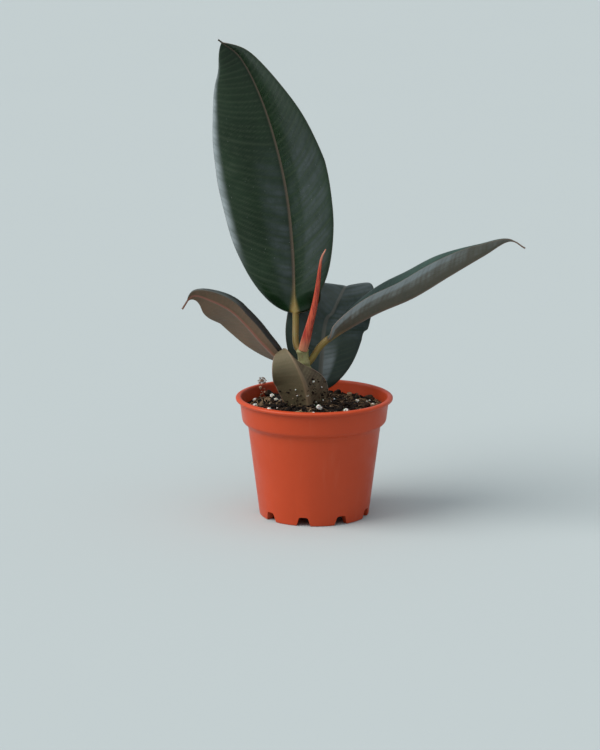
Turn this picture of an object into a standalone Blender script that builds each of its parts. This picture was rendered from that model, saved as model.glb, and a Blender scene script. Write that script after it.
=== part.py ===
"""Potted rubber plant: a young Ficus elastica with five leaves and a red bud sheath, rooted in
potting mix in a small moulded nursery pot.

Metres, +Z up. The origin is the centre of the pot's base, on the surface that the pot stands on.
-Y is the front, and +X is the side that the long arching leaf points to. Sizes below are in
millimetres, and a mesh turns them into metres when it is made.
"""

import math
import random
from typing import NamedTuple

import bmesh
import bpy
from mathutils import Matrix, Vector, noise
from mathutils.bvhtree import BVHTree

MM = 0.001
GAP = 0.3  # clearance between any two pieces that touch
EDGE_ALLOWANCE = 1.6  # a square edge moves out along its diagonal, so it needs this much more

# Pot
POT_HEIGHT = 46.0
RIM_RADIUS = 30.0
WALL = 0.8
LIP_HEIGHT = 1.5  # the bead round the rim
LIP_OVERHANG = 1.5  # how far the bead stands out from the band
BAND_HEIGHT = 9.6  # from the rim down to the step
BAND_TAPER = 1.0
STEP_DEPTH = 2.0  # how far the body sits inside the band
STEP_HEIGHT = 1.6
BASE_RADIUS = 21.0
FOOT_HEIGHT = 3.3  # the base plate is raised this much on its foot
FOOT_WIDTH = 2.6
BOSS_RADIUS = 9.0  # the flat disc in the middle of the base
POT_SEGMENTS = 64
NOTCH_COUNT = 9
NOTCH_PHASE = -11.5  # degrees from the front, towards +X
NOTCH_HEIGHT = 3.5
NOTCH_FOOT_WIDTH = 5.5
NOTCH_TOP_WIDTH = 3.0
DRAIN_RADIUS = 1.5  # a hole through the base plate behind each notch

# Potting mix
SOIL_EDGE_DROP = 4.4  # below the rim, at the wall
SOIL_MOUND = 2.2  # the middle stands this much above the edge
SOIL_BUMP = 0.5
SOIL_SEGMENTS = 40
SOIL_RINGS = 7

# Plant. Heights are measured from the top of the mound.
STEM_RADIUS = 2.3
STEM_TIP_RADIUS = 2.1
STEM_PATH = ((1.6, 2.2, -20.0), (0.4, 1.4, -8.0), (-1.4, 0.9, 2.0), (-3.4, 0.5, 12.0), (-4.7, 0.2, 20.6))
NODE_SWELL = 0.35  # the ring where a leaf joins
NODE_HEIGHTS = (2.0, 12.0, 15.0, 19.6)
NODE_SPREAD = 1.3
STEM_SIDES = 14
STEM_STATIONS = 20
STALK_RADIUS = 1.25
BLADE_THICKNESS = 0.7
MARGIN_THICKNESS = 0.45
TIP_HALF_WIDTH = 0.45
RIB_WIDTH = 1.3
FOLD_SHARE = 0.07  # of the blade's length, in which its fold opens from the round stalk
RING_SPAN = 7.0  # rings turn with the midrib over this length, so they don't cross where it bends
BLADE_STATIONS = 18
STALK_STATIONS = 4
BLADE_COLUMNS = 8
SHEATH_PATH = ((-4.4, -1.0, 20.0), (-2.8, -1.8, 26.0), (-0.3, -3.6, 36.0), (1.1, -5.2, 44.4),
               (2.4, -6.6, 55.3), (4.2, -7.0, 59.8))
SHEATH_RADIUS = 1.7
SHEATH_TIP_RADIUS = 0.35
SHEATH_TAPER = 0.8

POT_COLOUR = (0.42, 0.075, 0.030)
SOIL_COLOUR = (0.022, 0.014, 0.010)
STEM_COLOUR = (0.20, 0.19, 0.08)
SHEATH_COLOUR = (0.52, 0.060, 0.030)
PERLITE_COLOUR = (0.72, 0.70, 0.66)
CHIP_COLOUR = (0.30, 0.19, 0.11)
CRUMB_COLOUR = (0.060, 0.036, 0.022)


class Leaf(NamedTuple):
    """One leaf: its stalk starts on the stem's axis and ends at the blade's foot.

    The facings are the way its upper side looks at the foot, halfway and at the tip. Fold lifts
    each half towards the upper side, left half first, and roll bends it further on to the margin.
    A smaller foot or tip shape makes that end of each half's outline rounder, left half first, and
    drip is the part of the blade's length that its narrow drawn-out tip takes.
    """

    name: str
    stalk: tuple
    midrib: tuple
    half_width: float
    foot_shape: tuple
    tip_shape: tuple
    drip: float
    facings: tuple
    fold: tuple
    roll: tuple
    colour: tuple


LEAVES = (
    Leaf(
        name="leaf_upright",
        stalk=((-4.7, 0.6, 18.2), (-7.0, 2.9, 21.8), (-7.1, 8.0, 32.4)),
        midrib=((-7.9, 14.0, 55.6), (-11.2, 18.0, 82.0), (-18.4, 20.0, 108.8), (-27.2, 20.0, 127.6),
                (-36.2, 19.0, 135.3)),
        half_width=28.0,
        foot_shape=(0.58, 0.46),
        tip_shape=(0.68, 0.95),
        drip=0.015,
        facings=((-0.37, -0.93, 0.0), (-0.44, -0.90, 0.0), (-0.70, -0.70, 0.05)),
        fold=(22.0, 31.0),
        roll=(-50.0, -12.0),
        colour=(0.030, 0.038, 0.030),
    ),
    Leaf(
        name="leaf_right",
        stalk=((-3.8, 0.4, 13.2), (-1.3, 0.6, 15.8), (4.8, -0.2, 23.7)),
        midrib=((21.7, -1.6, 34.0), (37.1, -2.0, 40.8), (50.9, -2.0, 49.1), (63.5, -2.0, 56.6),
                (72.9, -2.0, 62.0), (79.0, -2.0, 59.2)),
        half_width=17.6,
        foot_shape=(0.85, 0.75),
        tip_shape=(1.2, 1.2),
        drip=0.09,
        facings=((-0.1, 0.06, 0.98), (-0.1, 0.09, 0.98), (0.2, 0.16, 0.98)),
        fold=(33.0, 36.0),
        roll=(-12.0, -20.0),
        colour=(0.055, 0.052, 0.040),
    ),
    Leaf(
        name="leaf_left",
        stalk=((-3.4, 0.5, 12.0), (-7.6, 2.8, 13.0), (-12.0, 4.0, 15.0)),
        midrib=((-19.5, 4.2, 22.0), (-25.5, 3.6, 28.8), (-31.5, 2.8, 34.6), (-39.2, 1.6, 38.8),
                (-45.9, 0.6, 40.6), (-50.0, 0.0, 35.6)),
        half_width=14.0,
        foot_shape=(0.38, 0.72),
        tip_shape=(0.8, 0.72),
        drip=0.10,
        facings=((0.55, 0.60, 0.58), (0.45, 0.64, 0.62), (-0.1, 0.90, 0.45)),
        fold=(4.0, 4.0),
        roll=(-95.0, -10.0),
        colour=(0.110, 0.080, 0.060),
    ),
    Leaf(
        name="leaf_front",
        stalk=((1.1, 1.7, -15.0), (-0.1, -1.7, -10.5), (-1.1, -4.7, -5.5)),
        midrib=((-3.2, -8.4, 6.9), (-5.9, -9.6, 14.2), (-8.3, -8.6, 18.6), (-10.4, -5.6, 21.0),
                (-11.6, -2.2, 20.8)),
        half_width=11.2,
        foot_shape=(0.66, 0.72),
        tip_shape=(1.5, 0.62),
        drip=0.03,
        facings=((0.05, 1.0, 0.1), (0.0, 1.0, 0.0), (-0.1, 0.3, -1.0)),
        fold=(38.0, 12.0),
        roll=(8.0, 6.0),
        colour=(0.085, 0.070, 0.035),
    ),
    Leaf(
        name="leaf_back",
        stalk=((-1.0, 1.0, -0.6), (0.6, 4.4, 0.4), (1.8, 6.8, 2.8)),
        midrib=((4.0, 12.0, 26.6), (7.1, 14.0, 31.6), (9.5, 17.0, 36.1), (11.8, 22.0, 39.6),
                (12.8, 28.5, 38.6), (13.2, 34.5, 33.4)),
        half_width=15.2,
        foot_shape=(0.62, 0.62),
        tip_shape=(0.8, 0.8),
        drip=0.05,
        facings=((0.0, -1.0, 0.1), (-0.05, -1.0, 0.2), (-0.12, 0.2, 1.0)),
        fold=(9.0, 9.0),
        roll=(-8.0, -8.0),
        colour=(0.040, 0.050, 0.042),
    ),
)

# Loose pieces on the mix: kind, degrees from the front towards +X, how much of the way they lie
# from the clear ground round the stem to the wall, size across.
CLEAR_GROUND = 8.0  # from the pot's axis
LITTER = (
    ("perlite", 9, 0.18, 2.5),
    ("perlite", -109, 0.39, 1.9),
    ("perlite", -129, 0.67, 2.1),
    ("perlite", -111, 0.87, 1.6),
    ("perlite", -86, 0.77, 1.9),
    ("perlite", -62, 0.60, 1.7),
    ("perlite", 43, 0.49, 2.0),
    ("perlite", 103, 0.47, 1.8),
    ("perlite", 28, 0.73, 2.2),
    ("perlite", -26, 0.79, 1.9),
    ("perlite", 172, 0.64, 2.2),
    ("perlite", -153, 0.66, 1.8),
    ("chip", -20, 0.51, 3.4),
    ("chip", -45, 0.68, 3.0),
    ("chip", 52, 0.72, 3.4),
    ("chip", 141, 0.74, 3.2),
    ("crumb", 156, 0.78, 3.0),
    ("crumb", 115, 0.83, 3.2),
    ("crumb", 77, 0.65, 3.4),
    ("crumb", 68, 0.24, 2.6),
    ("crumb", -135, 0.88, 3.6),
    ("crumb", -67, 0.75, 2.6),
    ("crumb", -37, 0.86, 2.8),
    ("crumb", -170, 0.36, 2.8),
)
LITTER_SHAPES = {"perlite": (1.0, 0.85, 0.8), "chip": (1.3, 0.7, 0.35), "crumb": (1.0, 0.9, 0.7)}
LITTER_ROUGHNESS = 0.14
LITTER_COLOURS = {"perlite": PERLITE_COLOUR, "chip": CHIP_COLOUR, "crumb": CRUMB_COLOUR}
LITTER_SEED = 11

SOIL_TOP = POT_HEIGHT - SOIL_EDGE_DROP + SOIL_MOUND


def clear_scene():
    for obj in list(bpy.data.objects):
        bpy.data.objects.remove(obj, do_unlink=True)


def material(name, colour, roughness):
    made = bpy.data.materials.new(name)
    made.use_nodes = True
    shader = made.node_tree.nodes["Principled BSDF"]
    shader.inputs["Base Color"].default_value = (*colour, 1.0)
    shader.inputs["Roughness"].default_value = roughness
    shader.inputs["Metallic"].default_value = 0.0
    return made


def add_mesh(name, points, faces, finish=None):
    """An object from points in millimetres, shaded smooth over its gentle edges."""
    mesh = bpy.data.meshes.new(name)
    mesh.from_pydata([Vector(point) * MM for point in points], [], faces)
    obj = bpy.data.objects.new(name, mesh)
    bpy.context.scene.collection.objects.link(obj)
    if finish:
        mesh.materials.append(finish)
    mesh.shade_smooth()
    mesh.set_sharp_from_angle(angle=math.radians(40.0))
    return obj


def add_cutter(name, points, faces):
    obj = add_mesh(name, points, faces)
    obj.hide_render = True
    obj.display_type = "WIRE"
    return obj


def cut(obj, *cutters):
    for cutter in cutters:
        modifier = obj.modifiers.new("cut_" + cutter.name, "BOOLEAN")
        modifier.operation = "DIFFERENCE"
        modifier.solver = "EXACT"
        modifier.object = cutter


def loft(rings):
    """The closed skin over rings of equally many points, with a cap at each end."""
    count = len(rings[0])
    points = [point for ring in rings for point in ring]
    faces = [tuple(reversed(range(count)))]
    for i in range(len(rings) - 1):
        for j in range(count):
            a = i * count + j
            b = i * count + (j + 1) % count
            faces.append((a, b, b + count, a + count))
    faces.append(tuple(range((len(rings) - 1) * count, len(rings) * count)))
    return points, faces


def ring_at(radius, z, segments):
    turn = 2.0 * math.pi / segments
    return [(radius * math.cos(turn * k), radius * math.sin(turn * k), z) for k in range(segments)]


class Curve:
    """A smooth curve through points, walked by distance along it."""

    STEPS = 24

    def __init__(self, points):
        points = [Vector(p) for p in points]
        ends = [points[0] * 2 - points[1]] + points + [points[-1] * 2 - points[-2]]
        self.places = [points[0]]
        self.reach = [0.0]
        self.knots = [0.0]
        for p0, p1, p2, p3 in zip(ends, ends[1:], ends[2:], ends[3:]):
            for step in range(1, self.STEPS + 1):
                f = step / self.STEPS
                square = (2 * p0 - 5 * p1 + 4 * p2 - p3) * f * f
                cube = (3 * p1 - p0 - 3 * p2 + p3) * f ** 3
                place = 0.5 * (2 * p1 + (p2 - p0) * f + square + cube)
                self.reach.append(self.reach[-1] + (place - self.places[-1]).length)
                self.places.append(place)
            self.knots.append(self.reach[-1])
        self.length = self.reach[-1]

    def at(self, distance):
        goal = min(max(distance, 0.0), self.length)
        k = next(n for n in range(1, len(self.reach)) if self.reach[n] >= goal - 1e-9)
        share = (goal - self.reach[k - 1]) / (self.reach[k] - self.reach[k - 1])
        return self.places[k - 1].lerp(self.places[k], share)

    def heading(self, distance, step=0.6):
        ahead = self.at(distance + step)
        behind = self.at(distance - step)
        return (ahead - behind).normalized()


def planted(points):
    """Places given from the top of the mound, as places in the part."""
    return [Vector(p) + Vector((0.0, 0.0, SOIL_TOP)) for p in points]


# ---------------------------------------------------------------- pot


def pot_outside(z):
    """Radius of the pot's outside, without the lip and the step's slope."""
    band_foot = POT_HEIGHT - BAND_HEIGHT
    band_top_radius = RIM_RADIUS - LIP_OVERHANG
    if z >= band_foot:
        return band_top_radius - BAND_TAPER * (POT_HEIGHT - z) / BAND_HEIGHT
    body_top_radius = band_top_radius - BAND_TAPER - STEP_DEPTH
    return BASE_RADIUS + (body_top_radius - BASE_RADIUS) * z / band_foot


def pot_floor():
    """Height of the base plate's inner face."""
    return FOOT_HEIGHT + WALL


def inner_profile(clearance, top):
    """Radius and height up the pot's inner wall to a height, moved inwards by a clearance."""
    band_foot = POT_HEIGHT - BAND_HEIGHT
    inset = WALL + clearance
    low = pot_floor() + clearance
    step_top = band_foot + WALL + clearance
    profile = [
        (pot_outside(low) - inset, low),
        (pot_outside(band_foot - STEP_HEIGHT) - inset, band_foot - STEP_HEIGHT + WALL + clearance),
        (pot_outside(band_foot) - inset, step_top),
    ]
    profile.append((pot_outside(top) - inset, top))
    return profile


def build_pot():
    band_foot = POT_HEIGHT - BAND_HEIGHT
    lip_foot = POT_HEIGHT - LIP_HEIGHT
    lip_round = LIP_HEIGHT / 2.0
    foot_inner = BASE_RADIUS - FOOT_WIDTH
    outside = [
        (BOSS_RADIUS, 0.0),
        (BOSS_RADIUS + 1.0, FOOT_HEIGHT),
        (foot_inner - 0.8, FOOT_HEIGHT),
        (foot_inner, 0.0),
        (BASE_RADIUS - 0.4, 0.0),
        (pot_outside(0.5), 0.5),
        (pot_outside(band_foot - STEP_HEIGHT), band_foot - STEP_HEIGHT),
        (pot_outside(band_foot) - 0.2, band_foot - 0.3),
        (pot_outside(band_foot), band_foot + 0.3),
        (pot_outside(lip_foot), lip_foot),
        (RIM_RADIUS - 0.4, lip_foot + 0.1),
        (RIM_RADIUS, lip_foot + lip_round),
        (RIM_RADIUS - 0.5, POT_HEIGHT - 0.1),
        (RIM_RADIUS - 1.0, POT_HEIGHT),
        (pot_outside(POT_HEIGHT) - WALL + 0.3, POT_HEIGHT),
    ]
    inside = list(reversed(inner_profile(0.0, POT_HEIGHT - 0.4)))
    centre = 0.6
    profile = [(centre, 0.0)] + outside + inside + [(centre, pot_floor())]
    points, faces = loft([ring_at(r, z, POT_SEGMENTS) for r, z in profile])
    pot = add_mesh("pot", points, faces, material("pot", POT_COLOUR, 0.45))
    cut(pot, build_notches(), build_drains())


def around_base(index):
    angle = 360.0 * index / NOTCH_COUNT + NOTCH_PHASE - 90.0
    return Matrix.Rotation(math.radians(angle), 3, "Z")


def build_notches():
    """Wedges that open the foot, wider at the ground than at the top."""
    inner = BASE_RADIUS - FOOT_WIDTH - 1.6
    outer = BASE_RADIUS + 3.0
    half_low = NOTCH_FOOT_WIDTH / 2.0
    half_high = NOTCH_TOP_WIDTH / 2.0
    outline = [(-half_low, -1.0), (half_low, -1.0), (half_low, 0.0), (half_high, NOTCH_HEIGHT),
               (-half_high, NOTCH_HEIGHT), (-half_low, 0.0)]
    points = []
    faces = []
    for index in range(NOTCH_COUNT):
        turn = around_base(index)
        rings = [[turn @ Vector((x, y, z)) for y, z in outline] for x in (inner, outer)]
        more_points, more_faces = loft(rings)
        faces += [tuple(len(points) + k for k in face) for face in more_faces]
        points += more_points
    return add_cutter("notch_cutter", points, faces)


def build_drains():
    points = []
    faces = []
    place = (BOSS_RADIUS + 1.0 + BASE_RADIUS - FOOT_WIDTH) / 2.0
    for index in range(NOTCH_COUNT):
        centre = around_base(index) @ Vector((place, 0.0, 0.0))
        rings = []
        for z in (FOOT_HEIGHT - 1.0, pot_floor() + 1.0):
            ring = ring_at(DRAIN_RADIUS, z, 12)
            rings.append([Vector(p) + centre for p in ring])
        more_points, more_faces = loft(rings)
        faces += [tuple(len(points) + k for k in face) for face in more_faces]
        points += more_points
    return add_cutter("drain_cutter", points, faces)


# ---------------------------------------------------------------- potting mix


def soil_height(x, y, edge_radius):
    """The mix is heaped round the stem and dies away to the wall, with small lumps on it."""
    spread = min(math.hypot(x, y) / edge_radius, 1.0)
    mound = SOIL_MOUND * (0.5 + 0.5 * math.cos(math.pi * spread))
    lumps = SOIL_BUMP * noise.noise(Vector((x, y, 0.0)) * 0.22) * (1.0 - spread ** 4)
    return POT_HEIGHT - SOIL_EDGE_DROP + mound + lumps


def build_soil():
    edge_z = POT_HEIGHT - SOIL_EDGE_DROP
    wall = inner_profile(GAP, edge_z)
    edge_radius = wall[-1][0]
    centre = 0.6
    rings = [ring_at(centre, wall[0][1], SOIL_SEGMENTS)]
    rings += [ring_at(r, z, SOIL_SEGMENTS) for r, z in wall]
    for k in range(1, SOIL_RINGS + 1):
        radius = edge_radius + (centre - edge_radius) * k / SOIL_RINGS
        flat = ring_at(radius, 0.0, SOIL_SEGMENTS)
        rings.append([(x, y, soil_height(x, y, edge_radius)) for x, y, z in flat])
    points, faces = loft(rings)
    return add_mesh("soil", points, faces, material("soil", SOIL_COLOUR, 0.9))


# ---------------------------------------------------------------- stem, sheath and leaves


def round_rod(curve, radius_at, sides, stations, start=0.0, end=None):
    end = curve.length if end is None else end
    across = Vector((0.0, 1.0, 0.0))
    rings = []
    for k in range(stations + 1):
        distance = start + (end - start) * k / stations
        heading = curve.heading(distance)
        side = across.cross(heading).normalized()
        front = heading.cross(side)
        radius = radius_at(distance)
        middle = curve.at(distance)
        angles = [2.0 * math.pi * n / sides for n in range(sides)]
        rings.append([middle + (side * math.cos(a) + front * math.sin(a)) * radius for a in angles])
    return rings


def stem_radius(curve, distance):
    share = distance / curve.length
    radius = STEM_RADIUS + (STEM_TIP_RADIUS - STEM_RADIUS) * share
    height = curve.at(distance).z - SOIL_TOP
    for node in NODE_HEIGHTS:
        radius += NODE_SWELL * math.exp(-(((height - node) / NODE_SPREAD) ** 2))
    return radius


def stem_rings(clearance):
    curve = Curve(planted(STEM_PATH))
    rings = round_rod(curve, lambda d: stem_radius(curve, d) + clearance, STEM_SIDES, STEM_STATIONS)
    if clearance:
        first = curve.heading(0.0) * -clearance
        last = curve.heading(curve.length) * clearance
        rings[0] = [p + first for p in rings[0]]
        rings[-1] = [p + last for p in rings[-1]]
    return rings


def build_stem():
    points, faces = loft(stem_rings(0.0))
    add_mesh("stem", points, faces, material("stem", STEM_COLOUR, 0.5))
    points, faces = loft(stem_rings(GAP))
    return add_cutter("stem_clearance", points, faces)


def build_sheath(stem_clearance):
    curve = Curve(planted(SHEATH_PATH))

    def radius_at(distance):
        share = min(distance / curve.length, 1.0)
        return SHEATH_TIP_RADIUS + (SHEATH_RADIUS - SHEATH_TIP_RADIUS) * (1.0 - share) ** SHEATH_TAPER

    points, faces = loft(round_rod(curve, radius_at, 12, 14))
    sheath = add_mesh("bud_sheath", points, faces, material("bud_sheath", SHEATH_COLOUR, 0.4))
    cut(sheath, stem_clearance)


def blade_outline(leaf, share, half):
    """Half width along one half of the blade, as a part of the widest, up to its drawn-out tip."""
    share = min(share / (1.0 - leaf.drip), 1.0)
    across = abs(2.0 * share - 1.0)
    shape = leaf.foot_shape[half] if share < 0.5 else leaf.tip_shape[half]
    return max(1.0 - across ** 2.2, 0.0) ** shape


def facing_at(leaf, share):
    foot, middle, tip = [Vector(f).normalized() for f in leaf.facings]
    if share < 0.5:
        return foot.lerp(middle, share * 2.0)
    return middle.lerp(tip, share * 2.0 - 1.0)


def leaf_ring(leaf, curve, foot, distance):
    """One closed ring round the leaf, from the left margin over the upper side and back below."""
    on_blade = distance >= foot
    share = min((distance - foot) / (curve.length - foot), 1.0) if on_blade else 0.0
    heading = curve.heading(distance, RING_SPAN)
    facing = facing_at(leaf, share)
    up = (facing - heading * facing.dot(heading)).normalized()
    side = heading.cross(up)
    opened = min(share / FOLD_SHARE, 1.0)
    opened = opened ** 2 * (3.0 - 2.0 * opened)
    stalk_left = (1.0 - share) ** 6 if on_blade else 1.0
    narrow = TIP_HALF_WIDTH + (STALK_RADIUS - TIP_HALF_WIDTH) * (1.0 - share)
    widths = [max(leaf.half_width * blade_outline(leaf, share, half), narrow) for half in (0, 1)]
    rib = STALK_RADIUS * 0.75 * (1.0 - share) ** 1.2 if on_blade else 0.0
    columns = [2.0 * k / BLADE_COLUMNS - 1.0 for k in range(BLADE_COLUMNS + 1)]
    upper = []
    lower = []
    for u in columns:
        half = 1 if u > 0.0 else 0
        hand = 1.0 if u > 0.0 else -1.0
        width = widths[half] if on_blade else STALK_RADIUS
        reach = 0.0
        rise = 0.0
        lean = 0.0
        steps = max(1, round(abs(u) * BLADE_COLUMNS / 2.0) * 3)
        for step in range(steps):
            q = abs(u) * (step + 0.5) / steps
            lean = opened * math.radians(leaf.fold[half] + leaf.roll[half] * q ** 2.0)
            reach += math.cos(lean) * abs(u) * width / steps
            rise += math.sin(lean) * abs(u) * width / steps
        lean = lean if u else 0.0
        middle = curve.at(distance) + side * hand * reach + up * rise
        outward = up * math.cos(lean) - side * hand * math.sin(lean)
        round_half = math.sqrt(max(STALK_RADIUS ** 2 - (u * STALK_RADIUS) ** 2, 0.0))
        flat_half = (BLADE_THICKNESS + (MARGIN_THICKNESS - BLADE_THICKNESS) * abs(u)) / 2.0
        flat_half = min(flat_half, width * 0.6)
        ridge = rib * math.exp(-((u * width / RIB_WIDTH) ** 2))
        above = max(round_half * stalk_left + flat_half * (1.0 - stalk_left), 0.22)
        below = max(round_half * stalk_left + (flat_half + ridge) * (1.0 - stalk_left), 0.22)
        upper.append(middle + outward * above)
        lower.append(middle - outward * below)
    return upper + list(reversed(lower))


def leaf_rings(leaf):
    curve = Curve(planted(leaf.stalk + leaf.midrib))
    foot = curve.knots[len(leaf.stalk) - 1]
    blade = curve.length - foot
    distances = [foot * k / STALK_STATIONS for k in range(STALK_STATIONS)]
    for k in range(BLADE_STATIONS + 1):
        share = k / BLADE_STATIONS
        eased = 0.5 - 0.5 * math.cos(math.pi * share)
        distances.append(foot + blade * (0.35 * share + 0.65 * eased))
    return [leaf_ring(leaf, curve, foot, distance) for distance in distances]


def build_leaf(leaf, stem_clearance):
    points, faces = loft(leaf_rings(leaf))
    obj = add_mesh(leaf.name, points, faces, material(leaf.name, leaf.colour, 0.35))
    cut(obj, stem_clearance)


def bridged(ring):
    """The ring with any hollow in its upper side bridged, so that no mix stands in the fold."""
    last = BLADE_COLUMNS
    out = ring[last // 2] - ring[last + 1 + last // 2]
    made = list(ring)
    for k in range(1, last):
        straight = ring[0].lerp(ring[last], k / last)
        if (straight - ring[k]).dot(out) > 0.0:
            made[k] = straight
    return made


def leaf_clearance(leaf):
    """The leaf swollen along its surface normals, more at its square edges, so the gap holds there."""
    points, faces = loft([bridged(ring) for ring in leaf_rings(leaf)])
    body = bmesh.new()
    vertices = [body.verts.new(point) for point in points]
    for face in faces:
        body.faces.new([vertices[k] for k in face])
    body.normal_update()
    swollen = [v.co + v.normal * GAP * EDGE_ALLOWANCE for v in vertices]
    body.free()
    return add_cutter(leaf.name + "_clearance", swollen, faces)


# ---------------------------------------------------------------- litter on the mix


def surface_of(obj):
    evaluated = obj.evaluated_get(bpy.context.evaluated_depsgraph_get())
    return BVHTree.FromPolygons(
        [v.co.copy() for v in evaluated.data.vertices],
        [tuple(p.vertices) for p in evaluated.data.polygons],
    )


def rest_height(surface, x, y, reach):
    """The highest point of the mix under a loose piece, in millimetres."""
    heights = []
    for dx in (-1.0, -0.5, 0.0, 0.5, 1.0):
        for dy in (-1.0, -0.5, 0.0, 0.5, 1.0):
            start = Vector((x + dx * reach, y + dy * reach, POT_HEIGHT * 2.0)) * MM
            hit = surface.ray_cast(start, Vector((0.0, 0.0, -1.0)))[0]
            if hit:
                heights.append(hit.z / MM)
    return max(heights)


def lump(rng, size, shape):
    """A small irregular stone, as points about its middle."""
    ball = bmesh.new()
    bmesh.ops.create_icosphere(ball, subdivisions=2, radius=size / 2.0)
    offset = Vector((rng.uniform(0, 50), rng.uniform(0, 50), rng.uniform(0, 50)))
    turn = Matrix.Rotation(rng.uniform(0.0, 2.0 * math.pi), 3, "Z")
    for vertex in ball.verts:
        swell = 1.0 + LITTER_ROUGHNESS * 2.0 * noise.noise(vertex.co * 1.4 / size + offset)
        place = Vector(v * s for v, s in zip(vertex.co, shape)) * swell
        vertex.co = turn @ place
    points = [v.co.copy() for v in ball.verts]
    faces = [tuple(v.index for v in f.verts) for f in ball.faces]
    ball.free()
    return points, faces


def build_litter(soil):
    rng = random.Random(LITTER_SEED)
    surface = surface_of(soil)
    finishes = {kind: material(kind, colour, 0.85) for kind, colour in LITTER_COLOURS.items()}
    counts = dict.fromkeys(LITTER_SHAPES, 0)
    wall = inner_profile(GAP, POT_HEIGHT - SOIL_EDGE_DROP)[-1][0]
    for kind, bearing, share, size in LITTER:
        counts[kind] += 1
        distance = CLEAR_GROUND + (wall - CLEAR_GROUND) * share
        x = distance * math.sin(math.radians(bearing))
        y = -distance * math.cos(math.radians(bearing))
        points, faces = lump(rng, size, LITTER_SHAPES[kind])
        lowest = min(p.z for p in points)
        reach = max(math.hypot(p.x, p.y) for p in points)
        lift = rest_height(surface, x, y, reach) + GAP - lowest
        place = Vector((x, y, lift))
        add_mesh(f"{kind}_{counts[kind]}", [p + place for p in points], faces, finishes[kind])


def main():
    clear_scene()
    build_pot()
    soil = build_soil()
    stem_clearance = build_stem()
    build_sheath(stem_clearance)
    for leaf in LEAVES:
        build_leaf(leaf, stem_clearance)
    buried = [leaf_clearance(leaf) for leaf in LEAVES if min(p[2] for p in leaf.stalk) < 6.0]
    cut(soil, stem_clearance, *buried)
    build_litter(soil)


main()
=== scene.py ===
"""Looks of the potted rubber plant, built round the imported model.

Every piece is made in millimetres in the frame's own axes and turned into metres as its mesh is
made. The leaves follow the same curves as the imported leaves, with fine meshes for their veins,
rolled margins and drawn-out tips. Heights on the plant are measured from the top of the mix.
"""

import math
import random

import bmesh
import bpy
import numpy as np
from mathutils import Matrix, Vector, noise


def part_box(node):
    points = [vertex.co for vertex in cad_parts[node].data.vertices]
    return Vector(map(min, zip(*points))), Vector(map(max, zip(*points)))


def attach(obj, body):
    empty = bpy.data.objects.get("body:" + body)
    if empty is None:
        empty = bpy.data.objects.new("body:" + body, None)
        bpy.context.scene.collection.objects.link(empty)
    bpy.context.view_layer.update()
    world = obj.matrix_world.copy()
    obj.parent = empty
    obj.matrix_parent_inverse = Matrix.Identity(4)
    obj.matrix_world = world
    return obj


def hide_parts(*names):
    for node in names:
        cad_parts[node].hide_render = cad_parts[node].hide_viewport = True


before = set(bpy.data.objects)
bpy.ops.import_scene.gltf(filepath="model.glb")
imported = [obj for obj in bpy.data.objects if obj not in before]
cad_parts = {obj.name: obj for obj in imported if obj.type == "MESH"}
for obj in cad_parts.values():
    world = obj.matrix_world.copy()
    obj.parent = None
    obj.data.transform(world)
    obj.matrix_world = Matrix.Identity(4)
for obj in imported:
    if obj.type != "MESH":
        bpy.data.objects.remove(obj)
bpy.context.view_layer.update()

MM = 0.001

# ---------------------------------------------------------------- sizes from the frame

POT_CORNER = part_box("pot")[1] / MM
POT_HEIGHT = POT_CORNER.z
RIM_RADIUS = POT_CORNER.x

# Pot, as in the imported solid
WALL = 0.8
LIP_HEIGHT = 1.5
LIP_OVERHANG = 1.5
BAND_HEIGHT = 9.6
BAND_TAPER = 1.0
STEP_DEPTH = 2.0
STEP_HEIGHT = 1.6
BASE_RADIUS = 21.0
FOOT_HEIGHT = 3.3
FOOT_WIDTH = 2.6
BOSS_RADIUS = 9.0
NOTCH_COUNT = 9
NOTCH_PHASE = -11.5
NOTCH_HEIGHT = 3.5
NOTCH_FOOT_WIDTH = 5.5
NOTCH_TOP_WIDTH = 3.0
DRAIN_RADIUS = 1.5
POT_SEGMENTS = 216

POLE_RADIUS = 0.3  # a turned surface stops this far from its axis, at a flat cap

SOIL_FIT = 0.1  # how far the mix stands off the floor and runs into the wall, so no slit shows
SOIL_EDGE_DROP = 4.4
SOIL_MOUND = 2.2
SOIL_TOP = POT_HEIGHT - SOIL_EDGE_DROP + SOIL_MOUND
SOIL_RADIUS = (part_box("soil")[1] / MM).x

# ---------------------------------------------------------------- nodes and materials


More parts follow.
